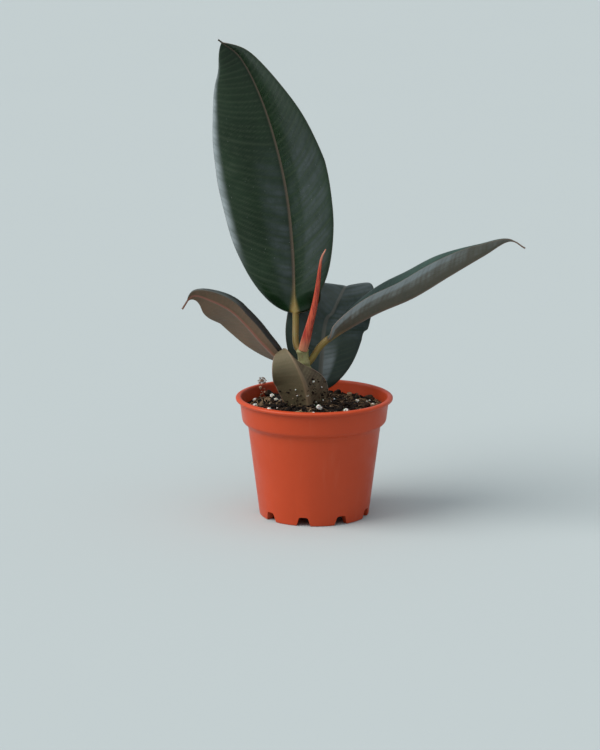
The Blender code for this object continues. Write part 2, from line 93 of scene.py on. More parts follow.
class Shader:
    """A material with a few short ways to add nodes to it."""

    def __init__(self, name):
        self.material = bpy.data.materials.new(name)
        self.material.use_nodes = True
        self.tree = self.material.node_tree
        self.bsdf = self.tree.nodes["Principled BSDF"]
        self.place = None

    def node(self, kind, **settings):
        made = self.tree.nodes.new(kind)
        for key, value in settings.items():
            setattr(made, key, value)
        return made

    def link(self, source, target):
        self.tree.links.new(source, target)

    def feed(self, socket, value):
        """Links a node's output to a socket, or sets the socket to a plain value."""
        if hasattr(value, "is_output"):
            self.link(value, socket)
        elif isinstance(value, tuple) and len(value) == 3 and socket.type == "RGBA":
            socket.default_value = (*value, 1.0)
        else:
            socket.default_value = value

    def where(self):
        if self.place is None:
            self.place = self.node("ShaderNodeTexCoord").outputs["Object"]
        return self.place

    def stretched(self, scale):
        mapping = self.node("ShaderNodeMapping")
        self.link(self.where(), mapping.inputs["Vector"])
        mapping.inputs["Scale"].default_value = scale
        return mapping.outputs["Vector"]

    def attribute(self, name):
        return self.node("ShaderNodeAttribute", attribute_name=name).outputs["Fac"]

    def noise(self, scale, detail=4.0, rough=0.55, vector=None):
        made = self.node("ShaderNodeTexNoise")
        self.link(vector or self.where(), made.inputs["Vector"])
        made.inputs["Scale"].default_value = scale
        made.inputs["Detail"].default_value = detail
        made.inputs["Roughness"].default_value = rough
        return made.outputs["Fac"]

    def cells(self, scale, vector=None):
        made = self.node("ShaderNodeTexVoronoi")
        self.link(vector or self.where(), made.inputs["Vector"])
        made.inputs["Scale"].default_value = scale
        return made.outputs["Distance"]

    def span(self, value, low, high, to_low=0.0, to_high=1.0):
        """Maps low..high of a value to to_low..to_high, with soft ends."""
        made = self.node("ShaderNodeMapRange", interpolation_type="SMOOTHSTEP")
        self.link(value, made.inputs["Value"])
        made.inputs["From Min"].default_value = low
        made.inputs["From Max"].default_value = high
        made.inputs["To Min"].default_value = to_low
        made.inputs["To Max"].default_value = to_high
        return made.outputs["Result"]

    def sum(self, operation, a, b):
        made = self.node("ShaderNodeMath", operation=operation)
        self.feed(made.inputs[0], a)
        self.feed(made.inputs[1], b)
        return made.outputs[0]

    def mix(self, factor, a, b, blend="MIX"):
        made = self.node("ShaderNodeMix", data_type="RGBA", blend_type=blend)
        self.feed(made.inputs["Factor"], factor)
        self.feed(made.inputs["A"], a)
        self.feed(made.inputs["B"], b)
        return made.outputs["Result"]

    def bump(self, height, strength, distance, under=None):
        made = self.node("ShaderNodeBump")
        self.link(height, made.inputs["Height"])
        made.inputs["Strength"].default_value = strength
        made.inputs["Distance"].default_value = distance
        if under:
            self.link(under, made.inputs["Normal"])
        return made.outputs["Normal"]

    def finish(self, colour, roughness, normal=None, **values):
        self.feed(self.bsdf.inputs["Base Color"], colour)
        self.feed(self.bsdf.inputs["Roughness"], roughness)
        if normal:
            self.link(normal, self.bsdf.inputs["Normal"])
        for key, value in values.items():
            self.feed(self.bsdf.inputs[key.replace("_", " ")], value)
        return self.material


def pot_plastic():
    """Thin moulded terracotta-coloured plastic: slightly uneven gloss, fine scuffs, fine dark grime."""
    s = Shader("pot_plastic")
    patches = s.noise(60.0, 3.0)
    colour = s.mix(patches, (0.500, 0.052, 0.010), (0.560, 0.064, 0.015))
    streaks = s.noise(240.0, 4.0, 0.6, s.stretched((1.0, 1.0, 0.12)))
    colour = s.mix(s.span(streaks, 0.56, 0.74, 0.0, 0.14), colour, (0.56, 0.13, 0.065))
    grime = s.noise(900.0, 5.0, 0.65)
    colour = s.mix(s.span(grime, 0.60, 0.78, 0.0, 0.35), colour, (0.26, 0.055, 0.030))
    roughness = s.span(s.noise(140.0, 4.0), 0.3, 0.7, 0.36, 0.50)
    ripple = s.bump(s.noise(90.0, 2.0), 0.25, 0.0006)
    grain = s.bump(s.noise(2600.0, 3.0, 0.6), 0.16, 0.00012, ripple)
    return s.finish(colour, roughness, grain, Specular_IOR_Level=0.32)


def mix_earth():
    """Damp peat mix, nearly black in patches and brown where it is drier."""
    s = Shader("mix_earth")
    clumps = s.noise(260.0, 6.0, 0.65)
    colour = s.mix(s.span(clumps, 0.38, 0.66), (0.0040, 0.0026, 0.0019), (0.022, 0.0125, 0.0080))
    flecks = s.noise(1500.0, 3.0, 0.6)
    colour = s.mix(s.span(flecks, 0.64, 0.74, 0.0, 0.35), colour, (0.12, 0.075, 0.045))
    rough = s.span(clumps, 0.3, 0.7, 0.72, 0.95)
    normal = s.bump(s.noise(1100.0, 5.0, 0.7), 0.9, 0.0005)
    return s.finish(colour, rough, normal, Specular_IOR_Level=0.12)


def crumb_earth(name, dark, light, dry=0.0):
    """Loose crumbs: each takes its own shade from where it lies."""
    s = Shader(name)
    shade = s.noise(420.0, 2.0)
    colour = s.mix(s.span(shade, 0.40, 0.62), dark, light)
    flecks = s.noise(2600.0, 3.0, 0.6)
    colour = s.mix(s.span(flecks, 0.62, 0.76, 0.0, 0.12 + dry), colour, (0.26, 0.17, 0.10))
    normal = s.bump(s.noise(3200.0, 4.0, 0.65), 0.8, 0.0002)
    return s.finish(colour, s.span(shade, 0.3, 0.7, 0.75, 0.95), normal, Specular_IOR_Level=0.15)


def perlite_stone():
    """Puffed volcanic glass: off-white, pitted, stained by the mix in its pits."""
    s = Shader("perlite_stone")
    pits = s.cells(1900.0)
    colour = s.mix(s.span(s.noise(900.0), 0.35, 0.7), (0.62, 0.58, 0.51), (0.82, 0.80, 0.76))
    colour = s.mix(s.span(pits, 0.10, 0.36, 0.45, 0.0), colour, (0.28, 0.21, 0.15))
    normal = s.bump(pits, 0.7, 0.0002)
    return s.finish(colour, 0.88, normal, Subsurface_Weight=0.15, Subsurface_Scale=0.0006)


def stem_bark():
    """Green young stem, turning brown and faintly corky towards the mix."""
    s = Shader("stem_bark")
    height = s.attribute("along")
    colour = s.mix(s.span(height, 0.45, 0.95), (0.115, 0.062, 0.034), (0.285, 0.270, 0.110))
    grain = s.noise(900.0, 5.0, 0.6, s.stretched((1.0, 1.0, 0.25)))
    colour = s.mix(s.span(grain, 0.52, 0.70, 0.0, 0.6), colour, (0.21, 0.115, 0.060))
    pores = s.cells(1100.0)
    colour = s.mix(s.span(pores, 0.05, 0.16, 0.7, 0.0), colour, (0.46, 0.36, 0.22))
    normal = s.bump(grain, 0.5, 0.00025)
    return s.finish(colour, 0.52, normal)


def sheath_skin():
    """The red bud sheath: papery, finely lined along its length, pale at its foot and its tip."""
    s = Shader("sheath_skin")
    along = s.attribute("along")
    lines = s.noise(1500.0, 3.0, 0.6, s.stretched((1.0, 1.0, 0.05)))
    colour = s.mix(s.span(lines, 0.35, 0.65), (0.300, 0.028, 0.018), (0.560, 0.090, 0.040))
    colour = s.mix(s.span(along, 0.0, 0.16, 0.55, 0.0), colour, (0.560, 0.300, 0.160))
    colour = s.mix(s.span(along, 0.80, 0.98, 0.0, 0.75), colour, (0.600, 0.280, 0.190))
    normal = s.bump(lines, 0.35, 0.0002)
    return s.finish(colour, 0.36, normal, Specular_IOR_Level=0.35)


# Colour of the painted highlight laid on the leaves where a reflection of the window would be.
PAINTED_HIGHLIGHT_COLOUR = (0.290, 0.330, 0.340)


def with_painted_light(s, colour, painted_light):
    """The leaf's colour under its patches of painted sheen and painted shade, and of stronger painted
    highlight.
    """
    broken = s.span(s.noise(330.0, 4.0, 0.6), 0.30, 0.62, 0.55, 1.0)
    colour = s.mix(s.sum("MULTIPLY", s.attribute("painted_light"), broken), colour, painted_light)
    return s.mix(s.attribute("painted_highlight"), colour, PAINTED_HIGHLIGHT_COLOUR)


def stalked(s, colour, green, brown):
    """The leaf's colour, turning into the stalk's towards its foot."""
    return s.mix(s.span(s.attribute("stalk"), 0.2, 0.9), colour, s.mix(s.noise(500.0), green, brown))


def leaf_upper(name, deep, bright, rib, painted_light, gloss):
    """Waxy upper side. Veins, rib and margin come from the mesh, so they line up with its relief."""
    s = Shader(name)
    patches = s.noise(70.0, 4.0)
    colour = s.mix(s.span(patches, 0.3, 0.7), deep, bright)
    colour = s.mix(s.sum("MULTIPLY", s.attribute("vein"), 0.30), colour, (0.070, 0.090, 0.055))
    # Painted sheen and painted shade in patches, then painted highlight, laid into the colour.
    colour = with_painted_light(s, colour, painted_light)
    colour = s.mix(s.span(s.attribute("rib"), 0.25, 0.8, 0.0, 0.85), colour, rib)
    colour = s.mix(s.span(s.attribute("edge"), 0.2, 0.9, 0.0, 0.7), colour, (0.090, 0.075, 0.055))
    colour = stalked(s, colour, (0.175, 0.170, 0.040), (0.240, 0.120, 0.040))
    dust = s.cells(420.0)
    colour = s.mix(s.span(dust, 0.022, 0.040, 0.75, 0.0), colour, (0.50, 0.52, 0.50))
    film = s.noise(160.0, 5.0, 0.62)
    roughness = s.span(film, 0.32, 0.70, gloss, gloss + 0.12)
    grain = s.bump(s.noise(3000.0, 2.0), 0.10, 0.00008)
    waves = s.bump(s.noise(230.0, 2.0, 0.5), 0.35, 0.0004, grain)
    return s.finish(colour, roughness, waves, Specular_IOR_Level=0.26)


def leaf_under(name, base, warm, rib, painted_light):
    """Matt underside, paler and warmer, with a raised rib and a fine net between the veins."""
    s = Shader(name)
    patches = s.noise(90.0, 4.0)
    colour = s.mix(s.span(patches, 0.3, 0.7), base, warm)
    mottle = s.noise(900.0, 4.0, 0.6)
    colour = s.mix(s.span(mottle, 0.5, 0.72, 0.0, 0.30), colour, (0.110, 0.120, 0.060))
    # Painted sheen and painted shade in patches, then painted highlight, laid into the colour.
    colour = with_painted_light(s, colour, painted_light)
    colour = s.mix(s.sum("MULTIPLY", s.attribute("vein"), 0.18), colour, rib)
    colour = s.mix(s.span(s.attribute("rib"), 0.25, 0.8, 0.0, 0.8), colour, rib)
    colour = s.mix(s.span(s.attribute("edge"), 0.2, 0.9, 0.0, 0.75), colour, (0.330, 0.210, 0.160))
    colour = stalked(s, colour, (0.200, 0.190, 0.050), (0.260, 0.140, 0.048))
    grain = s.bump(s.cells(1500.0), 0.20, 0.00012)
    waves = s.bump(s.noise(260.0, 3.0, 0.5), 0.35, 0.0004, grain)
    return s.finish(colour, s.span(patches, 0.3, 0.7, 0.42, 0.54), waves, Specular_IOR_Level=0.22)


def studio_floor():
    """Plain pale paper."""
    s = Shader("studio_floor")
    colour = s.mix(s.noise(3.0, 2.0), (0.472, 0.515, 0.513), (0.480, 0.523, 0.521))
    return s.finish(colour, 0.9, None, Specular_IOR_Level=0.1)


# ---------------------------------------------------------------- meshes


def make_object(name, points, faces, *materials, slots=None):
    """A smooth-shaded object from points in millimetres. slots gives each face's material."""
    mesh = bpy.data.meshes.new(name)
    mesh.from_pydata((np.asarray(points, float) * MM).tolist(), [], faces)
    for made in materials:
        mesh.materials.append(made)
    if slots is not None:
        mesh.polygons.foreach_set("material_index", np.asarray(slots, np.int32))
    mesh.shade_smooth()
    obj = bpy.data.objects.new(name, mesh)
    bpy.context.scene.collection.objects.link(obj)
    return obj


def ring_faces(rings, count):
    """Quads between rings of equally many points, and a cap at each end."""
    faces = [tuple(reversed(range(count)))]
    for i in range(rings - 1):
        for j in range(count):
            a = i * count + j
            b = i * count + (j + 1) % count
            faces.append((a, b, b + count, a + count))
    faces.append(tuple(range((rings - 1) * count, rings * count)))
    return faces


def add_attribute(obj, name, values):
    layer = obj.data.attributes.new(name, "FLOAT", "POINT")
    layer.data.foreach_set("value", np.asarray(values, np.float32))


def settle(obj, slot, *nodes):
    """The piece rides on the plant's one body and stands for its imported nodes."""
    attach(obj, "root")
    if nodes:
        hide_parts(*nodes)


def unit(v):
    return v / np.maximum(np.linalg.norm(v, axis=-1, keepdims=True), 1e-9)


def smoothstep(low, high, x):
    t = np.clip((x - low) / (high - low), 0.0, 1.0)
    return t * t * (3.0 - 2.0 * t)


class Curve:
    """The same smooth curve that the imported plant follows, walked by distance."""

    STEPS = 24

    def __init__(self, points):
        points = [np.array(p, float) + (0.0, 0.0, SOIL_TOP) for p in points]
        ends = [points[0] * 2 - points[1]] + points + [points[-1] * 2 - points[-2]]
        places = [points[0]]
        knots = [0.0]
        reach = [0.0]
        for p0, p1, p2, p3 in zip(ends, ends[1:], ends[2:], ends[3:]):
            for step in range(1, self.STEPS + 1):
                f = step / self.STEPS
                square = (2 * p0 - 5 * p1 + 4 * p2 - p3) * f * f
                cube = (3 * p1 - p0 - 3 * p2 + p3) * f**3
                place = 0.5 * (2 * p1 + (p2 - p0) * f + square + cube)
                reach.append(reach[-1] + np.linalg.norm(place - places[-1]))
                places.append(place)
            knots.append(reach[-1])
        self.places = np.array(places)
        self.reach = np.array(reach)
        self.knots = knots
        self.length = reach[-1]

    def at(self, distance):
        d = np.clip(distance, 0.0, self.length)
        return np.stack([np.interp(d, self.reach, self.places[:, k]) for k in range(3)], -1)

    def heading(self, distance, step=0.6):
        return unit(self.at(distance + step) - self.at(distance - step))


# ---------------------------------------------------------------- pot


def pot_outside(z):
    band_foot = POT_HEIGHT - BAND_HEIGHT
    band_top = RIM_RADIUS - LIP_OVERHANG
    if z >= band_foot:
        return band_top - BAND_TAPER * (POT_HEIGHT - z) / BAND_HEIGHT
    body_top = band_top - BAND_TAPER - STEP_DEPTH
    return BASE_RADIUS + (body_top - BASE_RADIUS) * z / band_foot


def rounded(profile, radii, steps=5):
    """The profile with each corner turned into an arc-like curve that starts a radius away."""
    made = []
    for k, (corner, radius) in enumerate(zip(profile, radii)):
        here = np.array(corner, float)
        if k in (0, len(profile) - 1) or radius <= 0.0:
            made.append(here)
            continue
        back = np.array(profile[k - 1], float) - here
        ahead = np.array(profile[k + 1], float) - here
        reach = min(radius, 0.45 * np.linalg.norm(back), 0.45 * np.linalg.norm(ahead))
        start = here + back / np.linalg.norm(back) * reach
        end = here + ahead / np.linalg.norm(ahead) * reach
        for t in np.linspace(0.0, 1.0, steps):
            made.append(start * (1 - t) ** 2 + here * 2 * t * (1 - t) + end * t**2)
    return made


def pot_profile():
    """Half section of the pot from the middle of its underside, up its outside and down inside.

    Each corner is its radius, its height and how far its rounding reaches.
    """
    band_foot = POT_HEIGHT - BAND_HEIGHT
    lip_foot = POT_HEIGHT - LIP_HEIGHT
    foot_inner = BASE_RADIUS - FOOT_WIDTH
    floor = FOOT_HEIGHT + WALL
    step_low = band_foot - STEP_HEIGHT
    corners = [
        (POLE_RADIUS, 0.0, 0.0),
        (BOSS_RADIUS, 0.0, 0.3),
        (BOSS_RADIUS + 1.0, FOOT_HEIGHT, 0.4),
        (foot_inner - 0.8, FOOT_HEIGHT, 0.4),
        (foot_inner, 0.0, 0.3),
        (BASE_RADIUS - 0.1, 0.0, 0.5),
        (pot_outside(step_low), step_low, 1.2),
        (pot_outside(band_foot) - 0.1, band_foot + 0.1, 0.9),
        (pot_outside(lip_foot), lip_foot - 0.1, 0.35),
        (RIM_RADIUS - 0.25, lip_foot, 0.45),
        (RIM_RADIUS, POT_HEIGHT - 0.5, 0.5),
        (RIM_RADIUS - 0.9, POT_HEIGHT, 0.6),
        (pot_outside(POT_HEIGHT) - WALL + 0.3, POT_HEIGHT - 0.05, 0.5),
        (pot_outside(POT_HEIGHT) - WALL, POT_HEIGHT - 0.8, 0.3),
        (pot_outside(band_foot) - WALL, band_foot + WALL, 0.9),
        (pot_outside(step_low) - WALL, step_low + WALL, 1.0),
        (pot_outside(floor) - WALL, floor, 0.8),
        (POLE_RADIUS, floor, 0.0),
    ]
    return rounded([(r, z) for r, z, _ in corners], [c[2] for c in corners])


def ring(radius, z, segments):
    turn = 2.0 * math.pi * np.arange(segments) / segments
    return np.stack([radius * np.cos(turn), radius * np.sin(turn), np.full(segments, z)], -1)


def around_base(index):
    angle = 360.0 * index / NOTCH_COUNT + NOTCH_PHASE - 90.0
    return Matrix.Rotation(math.radians(angle), 3, "Z")


def cutter(name, blocks):
    """One hidden cutting object from several closed blocks, each given as rings of points."""
    points = []
    faces = []
    for rings in blocks:
        count = len(rings[0])
        faces += [tuple(len(points) + k for k in face) for face in ring_faces(len(rings), count)]
        points += [tuple(p) for one in rings for p in one]
    return make_object(name, points, faces)


def notch_blocks():
    low = NOTCH_FOOT_WIDTH / 2.0
    high = NOTCH_TOP_WIDTH / 2.0
    outline = [(-low, -1.0), (low, -1.0), (low, 0.0), (high + 0.35, NOTCH_HEIGHT - 0.5),
               (high - 0.1, NOTCH_HEIGHT - 0.08), (high - 0.7, NOTCH_HEIGHT),
               (-high + 0.7, NOTCH_HEIGHT), (-high + 0.1, NOTCH_HEIGHT - 0.08),
               (-high - 0.35, NOTCH_HEIGHT - 0.5), (-low, 0.0)]
    reach = (BASE_RADIUS - FOOT_WIDTH - 1.6, BASE_RADIUS + 3.0)
    for index in range(NOTCH_COUNT):
        turn = around_base(index)
        yield [[turn @ Vector((x, y, z)) for y, z in outline] for x in reach]


def drain_blocks():
    place = (BOSS_RADIUS + 1.0 + BASE_RADIUS - FOOT_WIDTH) / 2.0
    for index in range(NOTCH_COUNT):
        centre = around_base(index) @ Vector((place, 0.0, 0.0))
        heights = (FOOT_HEIGHT - 1.0, FOOT_HEIGHT + WALL + 1.0)
        yield [[Vector(p) + centre for p in ring(DRAIN_RADIUS, z, 32)] for z in heights]


def cut_through(obj, *cutters):
    """Cuts the pieces out for good, so the mesh that is kept is the finished one."""
    for other in cutters:
        modifier = obj.modifiers.new("cut", "BOOLEAN")
        modifier.operation = "DIFFERENCE"
        modifier.solver = "EXACT"
        modifier.object = other
    evaluated = obj.evaluated_get(bpy.context.evaluated_depsgraph_get())
    mesh = bpy.data.meshes.new_from_object(evaluated)
    obj.modifiers.clear()
    obj.data = mesh
    for other in cutters:
        bpy.data.objects.remove(other, do_unlink=True)


def build_pot():
    profile = pot_profile()
    points = np.concatenate([ring(r, z, POT_SEGMENTS) for r, z in profile])
    faces = ring_faces(len(profile), POT_SEGMENTS)
    pot = make_object("pot_shell", points, faces, pot_plastic())
    cut_through(pot, cutter("notches", notch_blocks()), cutter("drains", drain_blocks()))
    pot.data.shade_smooth()
    pot.data.set_sharp_from_angle(angle=math.radians(38.0))
    settle(pot, "pot", "pot")


# ---------------------------------------------------------------- leaves

STALK_RADIUS = 1.25
BLADE_THICKNESS = 0.55
MARGIN_THICKNESS = 0.34
TIP_HALF_WIDTH = 0.42
RIB_WIDTH = 1.1
RING_SPAN = 7.0
FOLD_SHARE = 0.07
VEIN_RELIEF = 0.055
VEIN_WIDTH = 0.26
FINE_VEIN_WIDTH = 0.20
FINE_VEINS = 3.0  # to each side vein
RIB_GROOVE = 0.16
WAVE_LENGTH = 21.0

# How finely the meshes follow those shapes
COLUMNS = 72
STALK_RINGS = 20
BLADE_RING_GAP = 0.42
FEWEST_BLADE_RINGS = 90
WALK_STEPS = 24

# Each leaf: its path from the stem, its widest half width, each half's outline (left half first),
# the part of its length that is the drawn-out tip, the way its upper side faces at the foot, the
# middle and the tip, each half's fold and roll in degrees, its side veins, its patches of painted light
# and its colours, the last colour of each side being the painted light's. A patch is the half it lies
# on, where it starts and ends along the blade and out from the rib, and its strength. The patches are
# painted sheen where a window's reflection would be, and painted shade on the front leaf's underside.
# Past 1 a patch adds a painted highlight as well.

LEAVES = (
    dict(
        node="leaf_upright",
        stalk=((-4.7, 0.6, 18.2), (-7.0, 2.9, 21.8), (-7.1, 8.0, 32.4)),
        midrib=((-7.9, 14.0, 55.6), (-11.2, 18.0, 82.0), (-18.4, 20.0, 108.8), (-27.2, 20.0, 127.6),
                (-36.2, 19.0, 135.3)),
        half_width=28.0, foot_shape=(0.58, 0.46), tip_shape=(0.68, 0.95), drip=0.015,
        facings=((-0.37, -0.93, 0.0), (-0.44, -0.90, 0.0), (-0.70, -0.70, 0.05)),
        fold=(22.0, 31.0), roll=(-50.0, -12.0), roll_power=2.4, wave=0.12,
        vein_gap=2.6, vein_lean=0.16, quilt=0.12,
        painted_light=((1, 0.12, 0.62, 0.34, 0.92, 0.72), (1, 0.20, 0.52, 0.02, 0.30, 0.35),
               (0, 0.06, 0.52, 0.03, 0.34, 0.75), (0, 0.24, 0.88, 0.89, 1.30, 2.0)),
        upper=((0.0040, 0.0150, 0.0045), (0.0080, 0.0230, 0.0085), (0.080, 0.058, 0.040),
               (0.052, 0.066, 0.068), 0.25),
        under=((0.085, 0.064, 0.045), (0.120, 0.085, 0.062), (0.240, 0.115, 0.085), (0.10, 0.10, 0.09)),
    ),
    dict(
        node="leaf_right",
        stalk=((-3.8, 0.4, 13.2), (-1.3, 0.6, 15.8), (4.8, -0.2, 23.7)),
        midrib=((21.7, -1.6, 34.0), (37.1, -2.0, 40.8), (50.9, -2.0, 49.1), (63.5, -2.0, 56.6),
                (72.9, -2.0, 62.0), (79.0, -2.0, 59.2)),
        half_width=17.6, foot_shape=(0.85, 0.75), tip_shape=(1.2, 1.2), drip=0.05,
        facings=((-0.1, 0.06, 0.98), (-0.1, 0.09, 0.98), (0.2, 0.16, 0.98)),
        fold=(33.0, 36.0), roll=(-12.0, -20.0), roll_power=2.0, wave=0.08,
        vein_gap=2.1, vein_lean=0.25, quilt=0.04,
        painted_light=((1, 0.05, 0.66, 0.66, 1.20, 2.20), (1, 0.10, 0.75, 0.40, 1.20, 0.80),
               (1, 0.50, 0.95, 0.25, 1.20, 0.35)),
        upper=((0.0200, 0.0480, 0.0380), (0.0380, 0.0800, 0.0620), (0.120, 0.100, 0.070),
               (0.130, 0.190, 0.170), 0.27),
        under=((0.072, 0.068, 0.048), (0.105, 0.092, 0.066), (0.150, 0.095, 0.065),
               (0.235, 0.250, 0.235)),
    ),
    dict(
        node="leaf_left",
        stalk=((-3.4, 0.5, 12.0), (-7.6, 2.8, 13.0), (-12.0, 4.0, 15.0)),
        midrib=((-19.5, 4.2, 22.0), (-25.5, 3.6, 28.8), (-31.5, 2.8, 34.6), (-39.2, 1.6, 38.8),
                (-45.9, 0.6, 40.6), (-50.0, 0.0, 35.6)),
        half_width=14.0, foot_shape=(0.38, 0.66), tip_shape=(1.3, 1.55), drip=0.06,
        facings=((0.55, 0.60, 0.58), (0.45, 0.64, 0.62), (-0.1, 0.90, 0.45)),
        fold=(4.0, 4.0), roll=(-112.0, -10.0), roll_power=3.4, wave=0.03,
        vein_gap=1.9, vein_lean=0.25, quilt=0.03,
        painted_light=((0, 0.60, 1.0, 0.70, 1.2, 0.45),),
        upper=((0.0200, 0.0190, 0.0180), (0.0330, 0.0290, 0.0280), (0.150, 0.090, 0.070),
               (0.110, 0.150, 0.140), 0.32),
        under=((0.128, 0.084, 0.047), (0.175, 0.115, 0.070), (0.320, 0.125, 0.088), (0.15, 0.13, 0.11)),
    ),
    dict(
        node="leaf_front",
        stalk=((1.1, 1.7, -15.0), (-0.1, -1.7, -10.5), (-1.1, -4.7, -5.5)),
        midrib=((-3.2, -8.4, 6.9), (-5.9, -9.6, 14.2), (-8.3, -8.6, 18.6), (-10.4, -5.6, 21.0),
                (-11.6, -2.2, 20.8)),
        half_width=11.2, foot_shape=(0.60, 0.46), tip_shape=(2.4, 0.62), drip=0.03, skew=(0.5, 1.0),
        facings=((0.05, 1.0, 0.1), (0.0, 1.0, 0.0), (-0.1, 0.3, -1.0)),
        fold=(44.0, 12.0), roll=(8.0, 6.0), roll_power=2.0, wave=0.08,
        vein_gap=1.6, vein_lean=0.30, quilt=0.03,
        painted_light=((0, 0.10, 0.95, 0.10, 1.2, 0.85),),
        upper=((0.0150, 0.0240, 0.0150), (0.0230, 0.0340, 0.0200), (0.120, 0.090, 0.060),
               (0.080, 0.070, 0.075), 0.34),
        under=((0.108, 0.090, 0.050), (0.152, 0.122, 0.070), (0.235, 0.165, 0.100),
               (0.056, 0.034, 0.022)),
    ),
    dict(
        node="leaf_back",
        stalk=((-1.0, 1.0, -0.6), (0.6, 4.4, 0.4), (1.8, 6.8, 2.8)),
        midrib=((4.0, 12.0, 26.6), (7.1, 14.0, 31.6), (9.5, 17.0, 36.1), (11.8, 22.0, 39.6),
                (12.8, 28.5, 38.6), (13.2, 34.5, 33.4)),
        half_width=15.2, foot_shape=(0.62, 0.62), tip_shape=(0.8, 0.8), drip=0.05,
        facings=((0.0, -1.0, 0.1), (-0.05, -1.0, 0.2), (-0.12, 0.2, 1.0)),
        fold=(9.0, 9.0), roll=(-8.0, -8.0), roll_power=2.0, wave=0.03,
        vein_gap=1.9, vein_lean=0.22, quilt=0.07,
        painted_light=((1, 0.02, 0.26, -0.1, 0.40, 1.6), (1, 0.36, 1.0, 0.05, 0.95, 0.60),
               (0, 0.0, 1.0, 0.0, 0.7, 0.40)),
        upper=((0.0180, 0.0320, 0.0240), (0.0320, 0.0510, 0.0400), (0.105, 0.105, 0.088),
               (0.110, 0.140, 0.150), 0.28),
        under=((0.085, 0.070, 0.048), (0.120, 0.090, 0.066), (0.240, 0.120, 0.085), (0.12, 0.12, 0.11)),
    ),
)


def outline(leaf, share, half):
    """Half width along one half of the blade, as a part of the widest, up to its drawn-out tip.

    The share is the way along the blade. A skew under 1 moves the widest place towards the foot.
    """
    share = np.minimum(share / (1.0 - leaf["drip"]), 1.0) ** leaf.get("skew", (1.0, 1.0))[half]
    across = np.abs(2.0 * share - 1.0)
    shape = np.where(share < 0.5, leaf["foot_shape"][half], leaf["tip_shape"][half])
    return np.maximum(1.0 - across**2.2, 0.0) ** shape


def facing_at(leaf, share):
    foot, middle, tip = [unit(np.array(f, float)) for f in leaf["facings"]]
    t = share[:, None]
    low = foot + (middle - foot) * (t * 2.0)
    high = middle + (tip - middle) * (t * 2.0 - 1.0)
    return np.where(t < 0.5, low, high)


def veins_at(leaf, away, distance, foot, rng):
    """How near each place is to a side vein, and how far the blade puffs up between the veins."""
    lean = leaf["vein_lean"]
    start = distance[:, None] - foot - away * lean - 0.012 * away**2
    wobble = 0.35 * np.sin(start * 0.61 + rng.uniform(0, 6)) + 0.22 * np.sin(start * 1.37 + 2.0)
    phase = (start + wobble) / leaf["vein_gap"]
    near = np.abs(phase - np.round(phase)) * leaf["vein_gap"]
    main = np.exp(-((near / VEIN_WIDTH) ** 2))
    between = phase * FINE_VEINS + 0.4 * np.sin(away * 0.9)
    small_near = np.abs(between - np.round(between)) * leaf["vein_gap"] / FINE_VEINS
    small = np.exp(-((small_near / FINE_VEIN_WIDTH) ** 2))
    quilt = 0.5 - 0.5 * np.cos(2.0 * math.pi * phase)
    strength = 0.55 + 0.45 * np.sin(start * 0.43 + away * 0.21 + 1.1)
    return np.maximum(main, 0.35 * small), quilt * np.clip(strength, 0.15, 1.0)


def rings_along(leaf, curve):
    """The rings' distances along the stalk and blade, closer together at the blade's two ends."""
    foot = curve.knots[len(leaf["stalk"]) - 1]
    blade = curve.length - foot
    stations = max(FEWEST_BLADE_RINGS, round(blade / BLADE_RING_GAP))
    even = np.linspace(0.0, 1.0, stations + 1)
    eased = 0.5 - 0.5 * np.cos(math.pi * even)
    blade_d = foot + blade * (0.55 * even + 0.45 * eased)
    return foot, np.concatenate([np.linspace(0.0, foot, STALK_RINGS, endpoint=False), blade_d])


def walk_out(leaf, q, half, wide, opened):
    """Distance out from the rib and height over it, adding up the leaning steps of each half."""
    fold = np.array(leaf["fold"])[half]
    roll = np.array(leaf["roll"])[half]

    def lean_at(part):
        return np.radians(fold + roll * part ** leaf["roll_power"])[None, :] * opened

    away = q[None, :] * wide
    reach = np.zeros_like(away)
    rise = np.zeros_like(away)
    fine = np.linspace(0.0, 1.0, WALK_STEPS)
    for a, b in zip(fine, fine[1:]):
        lean = lean_at(q * (a + b) / 2.0)
        reach += np.cos(lean) * away * (b - a)
        rise += np.sin(lean) * away * (b - a)
    return reach, rise, lean_at(q) * smoothstep(0.0, 1.2, away)


def painted_light_patches(leaf, share, q, half):
    """How strongly each place is painted with sheen (shade on the front leaf's underside), and how much
    painted highlight it gets beyond that.
    """
    painted_light = np.zeros((len(share), len(q)))
    painted_highlight = np.zeros_like(painted_light)
    for side_half, s_low, s_high, q_low, q_high, strength in leaf["painted_light"]:
        spot = smoothstep(s_low - 0.09, s_low + 0.09, share)
        spot = spot * smoothstep(s_high + 0.12, s_high - 0.12, share)
        across = smoothstep(q_low - 0.08, q_low + 0.08, q) * smoothstep(q_high + 0.10, q_high - 0.10, q)
        spot = spot[:, None] * (across * (half == side_half))[None, :]
        painted_light = np.maximum(painted_light, spot * min(strength, 1.0))
        painted_highlight = np.maximum(painted_highlight, spot * max(strength - 1.0, 0.0))
    return painted_light, painted_highlight


